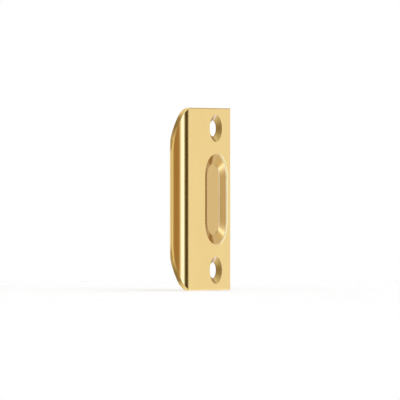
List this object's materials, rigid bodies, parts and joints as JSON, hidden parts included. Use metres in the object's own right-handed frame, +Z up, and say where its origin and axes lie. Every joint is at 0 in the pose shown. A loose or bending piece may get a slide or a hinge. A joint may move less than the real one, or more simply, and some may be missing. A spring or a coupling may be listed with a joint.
{
  "type": "door strike plate",
  "caption": "Pressed brass strike plate with a rolled lip along one side, a round-ended recess that a roller catch drops into, and countersunk screw holes above and below it.",
  "frame": {"origin": "midway between the two screw holes, on the plane of the back face that lies on the jamb", "axes": "+Z up along the line of the screw holes, +Y back into the jamb, -Y out of the front face, -X towards the lip"},
  "size_m": [0.0369, 0.0031, 0.0572],
  "materials": {
    "polished_brass": "polished"
  },
  "bodies": {
    "root": {"strike_plate": "polished_brass"}
  },
  "joints": []
}
